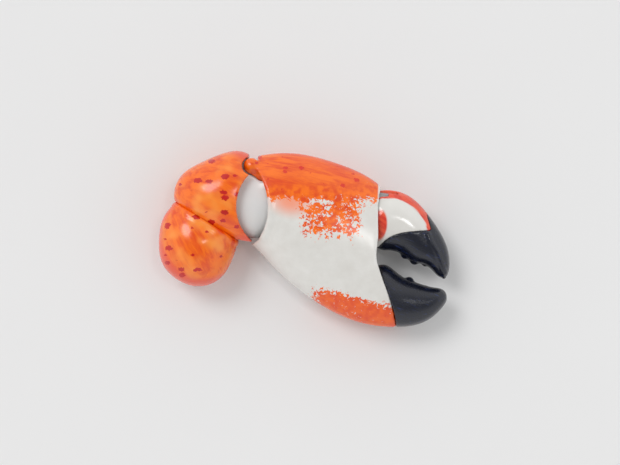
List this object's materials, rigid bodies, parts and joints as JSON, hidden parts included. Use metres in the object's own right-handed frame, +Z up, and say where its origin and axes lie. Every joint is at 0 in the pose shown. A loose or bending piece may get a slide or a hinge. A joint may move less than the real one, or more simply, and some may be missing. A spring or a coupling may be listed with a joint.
{
  "type": "lobster cracker",
  "caption": "Crab-claw-shaped lobster cracker: squeezing the rounded arm toward the palm closes a hooked upper finger onto a fixed lower jaw.",
  "frame": {"origin": "centre of the footprint's bounding box, on the table", "axes": "+Z up from the table; +X from the arm towards the finger tips, along the longest extent; +Y across, towards the wrist pin's side"},
  "size_m": [0.1646, 0.0997, 0.039],
  "materials": {
    "orange_white_glaze": "glossy glaze, hand painted orange over white",
    "orange_glaze": "glossy glaze, hand painted orange with red spots",
    "white_glaze": "glossy white glaze",
    "red_white_glaze": "glossy glaze, white with hand painted red strokes",
    "navy_enamel": "glossy dark navy enamel",
    "brushed_steel": "brushed",
    "fastener_steel": "turned",
    "brass": "turned"
  },
  "bodies": {
    "palm": {"palm_cover_upper": "orange_white_glaze", "palm_cover_lower": "orange_white_glaze", "wrist_ball_upper": "white_glaze", "wrist_ball_lower": "white_glaze", "frame_plate_upper": "brushed_steel", "frame_plate_lower": "brushed_steel", "fixed_jaw": "navy_enamel", "wrist_pivot_pin": "fastener_steel", "jaw_pivot_pin": "fastener_steel", "stop_pin": "fastener_steel", "wrist_washers": "brass", "jaw_washers": "brass", "frame_rivets": "fastener_steel", "frame_spacers": "fastener_steel", "palm_screws": "fastener_steel", "palm_inserts": "brass"},
    "finger": {"moving_jaw": "navy_enamel", "finger_scale_upper": "red_white_glaze", "finger_scale_lower": "red_white_glaze", "scale_rivets": "fastener_steel", "finger_link_pin": "fastener_steel"},
    "link": {"link_plate_upper": "brushed_steel", "link_plate_lower": "brushed_steel"},
    "arm": {"arm_lever": "brushed_steel", "carpus_cover_upper": "orange_glaze", "carpus_cover_lower": "orange_glaze", "merus_cover_upper": "orange_glaze", "merus_cover_lower": "orange_glaze", "arm_screws": "fastener_steel", "arm_inserts": "brass", "arm_link_pin": "fastener_steel"}
  },
  "joints": [
    {"name": "arm_hinge", "type": "hinge", "parent": "palm", "child": "arm", "pos_m": [-0.0296, 0.0412, 0.018], "axis": [0, 0, -1], "range_deg": [0, 40]},
    {"name": "finger_hinge", "type": "hinge", "parent": "palm", "child": "finger", "pos_m": [0.0474, 0.0108, 0.018], "axis": [0, 0, 1], "range_deg": [0, 30]},
    {"name": "link_pivot", "type": "hinge", "parent": "arm", "child": "link", "pos_m": [-0.02788, 0.03306, 0.018], "axis": [0, 0, 1], "range_deg": [0, 40]}
  ],
  "couplings": [
    {"joint": "finger_hinge", "follows": "arm_hinge", "ratio": 0.75},
    {"joint": "link_pivot", "follows": "arm_hinge", "ratio": 1}
  ]
}
